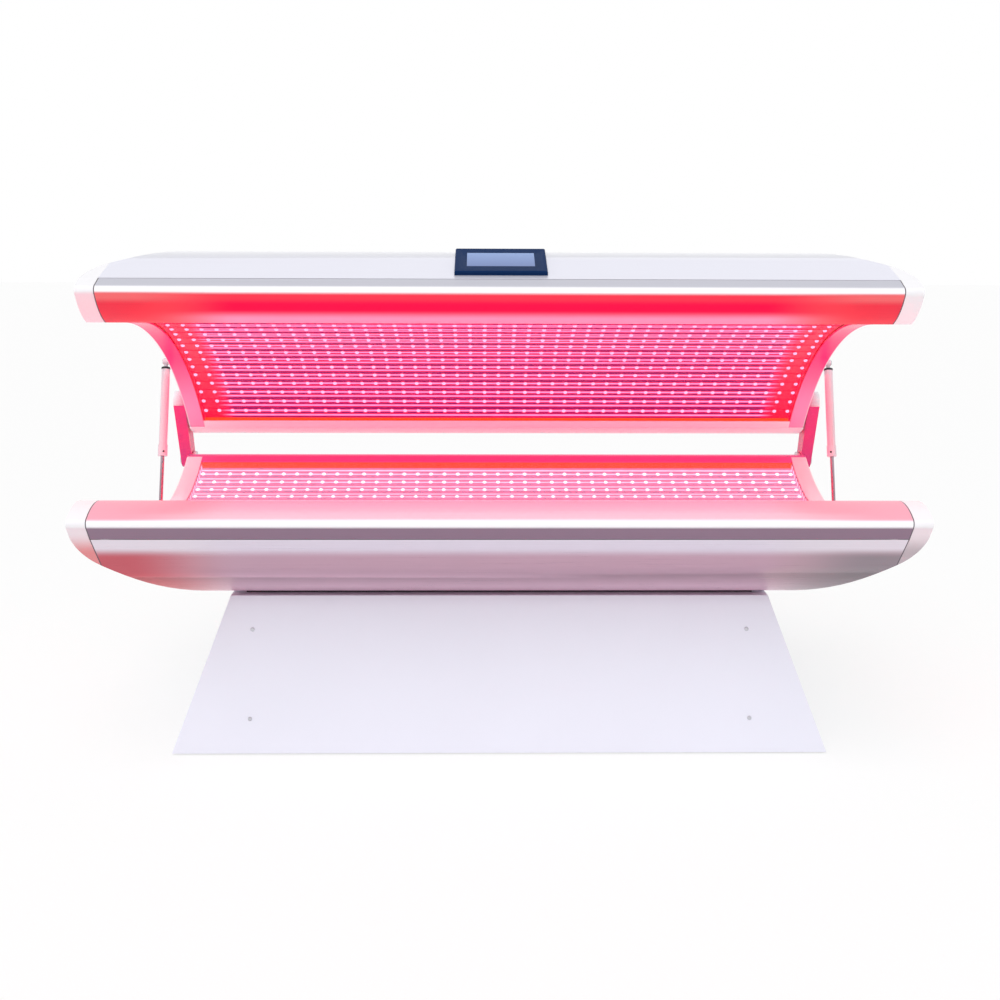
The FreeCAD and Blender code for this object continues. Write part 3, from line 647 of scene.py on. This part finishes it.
def lamp_plate_finish(name, group, centre, tilt, given, ground, lines):
    """Glowing red plate, its lines laid round the hollow's own centre."""
    finish, shader = new_finish(name, Roughness=0.4, Emission_Strength=8.0)
    tree = finish.node_tree
    place = object_place(tree)
    centred = add_node(tree, "ShaderNodeMapping", vector_type="TEXTURE", Location=centre)
    centred.inputs["Rotation"].default_value = (tilt, 0, 0)
    link(tree, place, centred.inputs["Vector"])
    masks = add_node(tree, "ShaderNodeGroup", node_tree=group)
    for socket, value in given.items():
        masks.inputs[socket].default_value = value
    link(tree, centred.outputs["Vector"], masks.inputs["Place"])
    end_red = (0.25, 0.0, 0.006, 1)
    edge_orange = (0.25, 0.009, 0.0013, 1)
    unlit = (0, 0, 0, 1)
    glow = mix_colour(tree, masks.outputs["Lines"], ground, lines)
    glow = mix_colour(tree, masks.outputs["Ends"], glow, end_red)
    glow = mix_colour(tree, masks.outputs["Edges"], glow, edge_orange)
    mottle = add_node(tree, "ShaderNodeTexNoise", Scale=45.0, Detail=2.0)
    link(tree, place, mottle.inputs["Vector"])
    uneven = scaled(tree, glow, ramp(tree, mottle.outputs["Fac"], 0, 1, low=0.75, high=1.2))
    link(tree, uneven, shader.inputs["Base Color"])
    link(tree, mix_colour(tree, masks.outputs["Lit"], unlit, uneven), shader.inputs["Emission Color"])
    return finish


lip_half = 0.33
lamp_depth = 0.022
strip_height = 0.002
plate_wall = 0.0025
row_pitch = 0.038
lamp_rows = 17
column_pitch = 0.0376
lamp_columns = 45
lens_radius = 0.0056
lens_sides = 8
lens_section = ((1.0, 0.0), (0.94, 0.3), (0.62, 0.62), (0.22, 0.74))
sheet_back = 0.008
end_strip_wall = 0.0012
end_strip_steps = 28
end_strip_margin = 0.6
edge_start = 0.28
row_masks = make_lamp_rows()

lamp_colours = {
    "bed": {
        "ground": (0.07, 0.03, 0.058, 1),
        "lines": (0.75, 0.1, 0.14, 1),
        "dim lens": (1.0, 0.17, 0.21, 1),
        "bright lens": (1.0, 0.24, 0.28, 1),
    },
    "canopy": {
        "ground": (0.038, 0.0, 0.0125, 1),
        "lines": (0.75, 0.04, 0.088, 1),
        "dim lens": (1.0, 0.06, 0.1, 1),
        "bright lens": (1.0, 0.085, 0.13, 1),
    },
}
for half, body, sagitta, placed, red_end in (
    ("bed", "base", 0.1, Matrix.Identity(4), 0.85),
    ("canopy", "canopy", 0.08, to_canopy, 0.745),
):
    colours = lamp_colours[half]
    hollow_radius = (lip_half ** 2 + sagitta ** 2) / (2 * sagitta)
    centre = Vector((0, 0, lip_z - sagitta + hollow_radius))
    plate_radius = hollow_radius + lamp_depth
    turn = row_pitch / plate_radius
    tilt = 0 if half == "bed" else open_angle
    given = {
        "Turn": turn,
        "Last Row": lamp_rows / 2 + edge_start,
        "End": red_end,
        "Back": plate_radius + plate_wall / 2,
    }
    plate = lamp_plate_finish(
        half + "_lamp_plate", row_masks, placed @ centre, tilt, given, colours["ground"], colours["lines"]
    )
    carry_over((half + "_led_panel",), plate)

    strips = bmesh.new()
    half_sweep = turn * (lamp_rows / 2 + end_strip_margin)
    plate_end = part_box(half + "_led_panel")[1].x
    for outer_x in (-plate_end, plate_end):
        inner_x = outer_x - math.copysign(end_strip_wall, outer_x)
        section = [
            strips.verts.new((x, 0, centre.z - hollow_radius - depth))
            for x, depth in (
                (inner_x, sheet_back),
                (outer_x, sheet_back),
                (outer_x, lamp_depth),
                (inner_x, lamp_depth),
            )
        ]
        first_edge = Matrix.Translation(centre) @ Matrix.Rotation(-half_sweep, 4, "X")
        bmesh.ops.transform(strips, matrix=first_edge @ Matrix.Translation(-centre), verts=section)
        bmesh.ops.spin(
            strips,
            geom=[strips.faces.new(section)],
            cent=centre,
            axis=(1, 0, 0),
            angle=2 * half_sweep,
            steps=end_strip_steps,
        )
    bmesh.ops.remove_doubles(strips, verts=strips.verts, dist=merge_distance)
    set_on_half(strips, placed)
    new_piece(half + "_lamp_ends", strips, plate, body)

    lens_finish, lens_shader = new_finish(
        half + "_lit_lens",
        Roughness=0.12,
        Emission_Strength=8.0,
        IOR=1.5,
    )
    lens_tree = lens_finish.node_tree
    lens_spread = add_node(lens_tree, "ShaderNodeTexNoise", Scale=30.0)
    link(lens_tree, object_place(lens_tree), lens_spread.inputs["Vector"])
    lens_glow = mix_colour(
        lens_tree, lens_spread.outputs["Fac"], colours["dim lens"], colours["bright lens"]
    )
    link(lens_tree, lens_glow, lens_shader.inputs["Emission Color"])
    link(lens_tree, lens_glow, lens_shader.inputs["Base Color"])
    lamps = bmesh.new()
    low = centre.z - plate_radius * math.cos(turn / 2) + strip_height
    start = -column_pitch * (lamp_columns - 1) / 2
    rings = []
    for across, up in lens_section:
        seat = Matrix.Translation((start, 0, low + up * lens_radius))
        ring = bmesh.ops.create_circle(lamps, segments=lens_sides, radius=across * lens_radius, matrix=seat)
        rings.append(ring["verts"])
    for lower, upper in zip(rings, rings[1:]):
        lower_loop = [edge for edge in lamps.edges if all(vert in lower for vert in edge.verts)]
        upper_loop = [edge for edge in lamps.edges if all(vert in upper for vert in edge.verts)]
        bmesh.ops.bridge_loops(lamps, edges=lower_loop + upper_loop)
    for ring in (rings[0], rings[-1]):
        bmesh.ops.contextual_create(lamps, geom=ring)
    bmesh.ops.recalc_face_normals(lamps, faces=lamps.faces)
    everything = lamps.verts[:] + lamps.edges[:] + lamps.faces[:]
    bmesh.ops.spin(
        lamps,
        geom=everything,
        axis=(1, 0, 0),
        dvec=(column_pitch, 0, 0),
        steps=lamp_columns - 1,
        use_duplicate=True,
    )
    first_row = Matrix.Translation(centre) @ Matrix.Rotation(-turn * (lamp_rows - 1) / 2, 4, "X")
    bmesh.ops.transform(lamps, matrix=first_row @ Matrix.Translation(-centre), verts=lamps.verts)
    everything = lamps.verts[:] + lamps.edges[:] + lamps.faces[:]
    bmesh.ops.spin(
        lamps,
        geom=everything,
        cent=centre,
        axis=(1, 0, 0),
        angle=turn * (lamp_rows - 1),
        steps=lamp_rows - 1,
        use_duplicate=True,
    )
    set_on_half(lamps, placed)
    lenses = new_piece(half + "_lamp_lenses", lamps, lens_finish, body)
    lenses.data.shade_smooth()


# Acrylic sheets: clear curved sheets over the lamps, slid in between each rim's flange and ledge.
# They are polished, with only faint handling haze; a pale veil that thickens at a slant is painted glare.

for half, body, glare in (("bed", "base", 0.5), ("canopy", "canopy", 0.08)):
    acrylic_finish, acrylic_shader = new_finish(
        half + "_clear_acrylic",
        Base_Color=(0.6, 0.5, 0.57, 1),
        Specular_IOR_Level=0.6,
        IOR=1.49,
    )
    acrylic_tree = acrylic_finish.node_tree
    haze = add_node(acrylic_tree, "ShaderNodeTexNoise", Scale=6.0, Detail=4.0)
    link(acrylic_tree, object_place(acrylic_tree), haze.inputs["Vector"])
    polish = ramp(acrylic_tree, haze.outputs["Fac"], 0, 1, high=0.05)
    link(acrylic_tree, polish, acrylic_shader.inputs["Roughness"])
    # Painted glare: a pale pink veil at a slant, strong on the bed's sheet and faint on the canopy's.
    slant = add_node(acrylic_tree, "ShaderNodeLayerWeight", Blend=0.6)
    painted_glare_veil = ramp(acrylic_tree, slant.outputs["Facing"], 0.3, 1, low=0.02, high=glare)
    link(acrylic_tree, painted_glare_veil, acrylic_shader.inputs["Alpha"])
    smooth_over(half + "_acrylic", acrylic_finish, body)


# Touch panel: a flat dark plastic bezel on the canopy's front face with a colour screen let into it.
# The screen shows a plain blue-grey ground, brighter towards its top.

bezel_plastic = skin_finish(
    "navy_black_plastic",
    paint_skin,
    0.15,
    {"Colour": (0.006, 0.025, 0.09, 1), "Drift": 0.4, "Roughness": 0.45, "Grain": 1400},
    Specular_IOR_Level=0.03,
)
smooth_over("touch_bezel", bezel_plastic, "canopy")
screen_finish, screen_shader = new_finish(
    "lit_screen",
    Roughness=0.25,
    Emission_Strength=0.25,
    Specular_IOR_Level=0.3,
)
screen_tree = screen_finish.node_tree
screen_low, screen_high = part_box("touch_screen")
screen_dim = (0.09, 0.14, 0.33, 1)
screen_bright = (0.17, 0.26, 0.5, 1)
screen_place = add_node(screen_tree, "ShaderNodeSeparateXYZ")
link(screen_tree, object_place(screen_tree), screen_place.inputs[0])
screen_rise = ramp(screen_tree, screen_place.outputs["Z"], screen_low.z, screen_high.z)
screen_glow = mix_colour(screen_tree, screen_rise, screen_dim, screen_bright)
link(screen_tree, screen_glow, screen_shader.inputs["Emission Color"])
link(screen_tree, screen_glow, screen_shader.inputs["Base Color"])
carry_over(("touch_screen",), screen_finish)


# Hinges: white painted arms on the canopy turn on steel pins in brackets on the bed, at the rear corners.
# Two screws hold each bracket to its end frame. An arm's faces towards the lamps have the lamps' light
# painted on.

white_paint = skin_finish(
    "gloss_white_paint",
    paint_skin,
    0.05,
    {"Colour": (0.86, 0.85, 0.88, 1), "Drift": 0.05, "Roughness": 0.2, "Grain": 500},
)
steel = skin_finish(
    "turned_steel",
    brushed_skin,
    0.03,
    {"Colour": (0.6, 0.6, 0.63, 1), "Streak": 0.1, "Roughness": 0.25},
    Metallic=1.0,
)
arm_paint = white_paint.copy()
arm_paint.name = "hinge_arm_paint"
arm_skin = arm_paint.node_tree.nodes["skin"]
# Painted lamp glow: magenta on the arm faces that look towards the lamps.
lamp_side = add_node(arm_paint.node_tree, "ShaderNodeAttribute", attribute_name="lamp_side").outputs["Fac"]
arm_white = tuple(arm_skin.inputs["Colour"].default_value)
arm_painted_lamp_red = (0.85, 0.02, 0.2, 1)
arm_painted_glow = mix_colour(arm_paint.node_tree, lamp_side, arm_white, arm_painted_lamp_red)
link(arm_paint.node_tree, arm_painted_glow, arm_skin.inputs["Colour"])
machined_edge = 0.0012
pocket_half_depth = 0.0145
inward_slant = 0.5
forward_slant = 0.2
for side, outward in (("left", -1), ("right", 1)):
    smooth_over("hinge_bracket_" + side, white_paint, "base", machined_edge)
    arm = smooth_over("hinge_arm_" + side, arm_paint, "canopy", machined_edge)
    outer_x = max(abs(corner.x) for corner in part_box("hinge_arm_" + side))
    lit_faces = []
    for face in arm.data.polygons:
        inward = face.normal.x * outward < -inward_slant
        forward = face.normal.y < -forward_slant
        inner_half = outer_x - abs(face.center.x) > pocket_half_depth
        lit_faces.append(float(inward or (forward and inner_half)))
    arm.data.attributes.new("lamp_side", "FLOAT", "FACE").data.foreach_set("value", lit_faces)
    smooth_over("hinge_pin_" + side, steel, "base")

bracket_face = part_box("hinge_bracket_right")[1].x
bracket_screw_spots = ((0.297, 0.532), (0.321, 0.548))
bracket_screws = bmesh.new()
for side in (-1, 1):
    for y, z in bracket_screw_spots:
        add_screw(bracket_screws, out_of((side * bracket_face, y, z), (side, 0, 0)), screw_radius)
new_piece("hinge_bracket_screws", bracket_screws, zinc, "base")


# Gas struts: white painted cylinders hung on the canopy, polished rods standing on the bed, on steel studs.
# The rod slides in its cylinder. A black rubber boot closes the cylinder's top, a grub screw its collar.

# The pink in the cylinders' white paint is painted lamp glow; the rod's dark mauve is a painted reflection
# of the lamps.
strut_paint = skin_finish(
    "strut_paint",
    paint_skin,
    0.03,
    {"Colour": (0.82, 0.62, 0.69, 1), "Drift": 0.12, "Roughness": 0.18, "Grain": 500},
    Coat_Weight=0.3,
    Coat_Roughness=0.06,
)
rod_steel = skin_finish(
    "polished_rod_steel",
    paint_skin,
    0.01,
    {"Colour": (0.36, 0.26, 0.31, 1), "Drift": 0.1, "Roughness": 0.12, "Grain": 300},
    Metallic=0.8,
)
blackened = skin_finish(
    "blackened_steel",
    paint_skin,
    0.05,
    {"Colour": (0.025, 0.022, 0.026, 1), "Drift": 0.2, "Roughness": 0.3, "Grain": 900},
    Metallic=0.4,
)
boot_section = (
    (0.0055, 0.016),
    (0.0105, 0.016),
    (0.0118, 0.0172),
    (0.0118, 0.0212),
    (0.01112, 0.0218),
    (0.01112, 0.0198),
    (0.0055, 0.0198),
)
boot_steps = 24
collar_radius = 0.0124
collar_screw_down = 0.249
collar_screw_radius = 0.0028
collar_screw_turn = 0.5
for side in ("left", "right"):
    smooth_over("strut_cylinder_" + side, strut_paint, "strut_cylinder_" + side)
    smooth_over("strut_rod_" + side, rod_steel, "strut_rod_" + side)
    smooth_over("strut_stud_low_" + side, steel, "base")
    smooth_over("strut_stud_top_" + side, steel, "canopy")
    top = sum(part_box("strut_stud_top_" + side), Vector()) / 2
    low = sum(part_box("strut_stud_low_" + side), Vector()) / 2
    top.x = low.x = sum(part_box("strut_rod_" + side), Vector()).x / 2
    down = (low - top).normalized()
    boot = bmesh.new()
    add_turned(boot, out_of(top, down), boot_section, boot_steps, ring=True)
    new_piece(f"strut_boot_{side}", boot, rubber, "strut_cylinder_" + side)
    inward = Vector((-math.copysign(1, top.x), 0, 0))
    forward = down.cross(Vector((1, 0, 0))).normalized()
    forward *= -math.copysign(1, forward.y)
    outward = (forward + inward * collar_screw_turn).normalized()
    spot = top + down * collar_screw_down + outward * collar_radius
    grub = bmesh.new()
    add_screw(grub, out_of(spot, outward), collar_screw_radius)
    new_piece(f"strut_screw_{side}", grub, blackened, "strut_cylinder_" + side)


# Fans and power pieces: black moulded fans over the vents, aluminium supplies inside the bed,
# and the mains inlet with its rocker switch on the right end frame.

black_plastic = skin_finish(
    "black_moulded_plastic",
    paint_skin,
    0.15,
    {"Colour": (0.02, 0.02, 0.022, 1), "Drift": 0.3, "Roughness": 0.4, "Grain": 1100},
)
supply_case = skin_finish(
    "supply_case_aluminium",
    brushed_skin,
    0.05,
    {"Colour": (0.6, 0.6, 0.62, 1), "Streak": 0.15, "Roughness": 0.4},
    Metallic=0.9,
)
for half, body, _ in halves:
    for side in ("left", "right"):
        smooth_over(f"{half}_fan_frame_{side}", black_plastic, body)
        rotor = f"{half}_fan_rotor_{side}"
        smooth_over(rotor, black_plastic, rotor)
carry_over(("power_supply_left", "power_supply_right"), supply_case)
carry_over(("power_inlet", "switch_frame", "switch_rocker"), black_plastic)

fan_x = 0.38
fan_y = 0.09
fan_hole = 0.0525
fan_screw_radius = 0.0042
pan_low_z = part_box("bed_pan")[0].z
for half, body, placed in halves:
    fan_screws = bmesh.new()
    for x in (-fan_x - fan_hole, -fan_x + fan_hole, fan_x - fan_hole, fan_x + fan_hole):
        for y in (fan_y - fan_hole, fan_y + fan_hole):
            add_screw(fan_screws, out_of((x, y, pan_low_z), (0, 0, -1)), fan_screw_radius)
    set_on_half(fan_screws, placed)
    new_piece(half + "_fan_screws", fan_screws, blackened, body)

inlet_low, inlet_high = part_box("power_inlet")
socket_wall = 0.003
socket_floor = inlet_low.x + socket_wall
pin_size = (0.002, 0.002, 0.0045)
pin_edge = 0.0003
pin_spots = ((-0.0075, -0.0022), (0.0, 0.0028), (0.0075, -0.0022))
inlet_pins = bmesh.new()
for across, up in pin_spots:
    spot = ((inlet_low + inlet_high) / 2).yz + Vector((across, up))
    seat = Matrix.Translation((socket_floor + pin_size[0] / 2, *spot))
    pin = bmesh.ops.create_cube(inlet_pins, matrix=seat @ Matrix.Diagonal((*pin_size, 1)))
    bmesh.ops.bevel(
        inlet_pins,
        geom=[edge for edge in inlet_pins.edges if edge.verts[0] in pin["verts"]],
        offset=pin_edge,
        affect="EDGES",
        segments=1,
        profile=0.5,
        material=-1,
    )
new_piece("inlet_pins", inlet_pins, zinc, "base")


# Studio: a pale floor, an even white surround, broad light from above, a soft strip in front and side fills.
# The camera stands where the photograph was taken.

def white_to_eye(tree):
    """One for rays that see the background directly, in metal or through glass, and nought for the rest."""
    rays = add_node(tree, "ShaderNodeLightPath").outputs
    mirrored = maths(tree, "MAXIMUM", rays["Is Camera Ray"], rays["Is Glossy Ray"])
    return maths(tree, "MAXIMUM", mirrored, rays["Is Transmission Ray"])


world = bpy.data.worlds.new("white_surround")
bpy.context.scene.world = world
world.use_nodes = True
surround = world.node_tree.nodes["Background"]
surround.inputs["Color"].default_value = (1, 1, 1, 1)
ambient = 0.42
strength = ramp(world.node_tree, white_to_eye(world.node_tree), 0, 1, low=ambient)
link(world.node_tree, strength, surround.inputs["Strength"])

floor_half = 90
floor_shape = bmesh.new()
bmesh.ops.create_grid(floor_shape, x_segments=1, y_segments=1, size=floor_half)
floor_mesh = bpy.data.meshes.new("floor")
floor_shape.to_mesh(floor_mesh)
floor_shape.free()
floor = bpy.data.objects.new("floor", floor_mesh)
bpy.context.scene.collection.objects.link(floor)
floor_finish, floor_shader = new_finish("pale_floor", Base_Color=(0.96, 0.96, 0.96, 1), Roughness=0.9)
floor_tree = floor_finish.node_tree
floor_glow = add_node(floor_tree, "ShaderNodeEmission", Strength=1.0)
floor_mix = add_node(floor_tree, "ShaderNodeMixShader")
glow_share = 0.7
floor_share = maths(floor_tree, "MULTIPLY", white_to_eye(floor_tree), glow_share)
link(floor_tree, floor_share, floor_mix.inputs["Fac"])
link(floor_tree, floor_shader.outputs["BSDF"], floor_mix.inputs[1])
link(floor_tree, floor_glow.outputs["Emission"], floor_mix.inputs[2])
link(floor_tree, floor_mix.outputs["Shader"], floor_tree.nodes["Material Output"].inputs["Surface"])
floor_mesh.materials.append(floor_finish)


def soft_light(name, place, aim, size, power):
    lamp = bpy.data.lights.new(name, "AREA")
    lamp.shape = "RECTANGLE"
    lamp.size, lamp.size_y = size
    lamp.energy = power
    light = bpy.data.objects.new(name, lamp)
    light.location = place
    light.rotation_euler = (Vector(aim) - Vector(place)).to_track_quat("-Z", "Y").to_euler()
    bpy.context.scene.collection.objects.link(light)


bed_middle = (0, 0, 0.6)
overhead_way = Vector((0.15, 0.5, -1))
overhead = bpy.data.lights.new("overhead", "SUN")
overhead.energy = 1.9
overhead.angle = math.radians(60)
overhead_light = bpy.data.objects.new("overhead", overhead)
overhead_light.visible_glossy = False
overhead_light.rotation_euler = overhead_way.to_track_quat("-Z", "Y").to_euler()
bpy.context.scene.collection.objects.link(overhead_light)
soft_light("front_strip", (0, -4.4, 1.9), bed_middle, (4.0, 0.7), 8)
soft_light("fill_left", (-3.4, -1.6, 1.6), bed_middle, (1.6, 2.0), 8)
soft_light("fill_right", (3.4, -1.6, 1.6), bed_middle, (1.6, 2.0), 8)

sensor_width = 36.0
focal_pixels = 1182
picture_pixels = 1000
camera_data = bpy.data.cameras.new("camera")
camera_data.sensor_width = sensor_width
camera_data.lens = sensor_width * focal_pixels / picture_pixels
camera = bpy.data.objects.new("camera", camera_data)
camera.location = (-0.041, -2.991, 1.135)
camera.rotation_euler = (math.radians(78.93), math.radians(-0.18), math.radians(-0.79))
bpy.context.scene.collection.objects.link(camera)
bpy.context.scene.camera = camera
bpy.context.scene.view_settings.view_transform = "Standard"
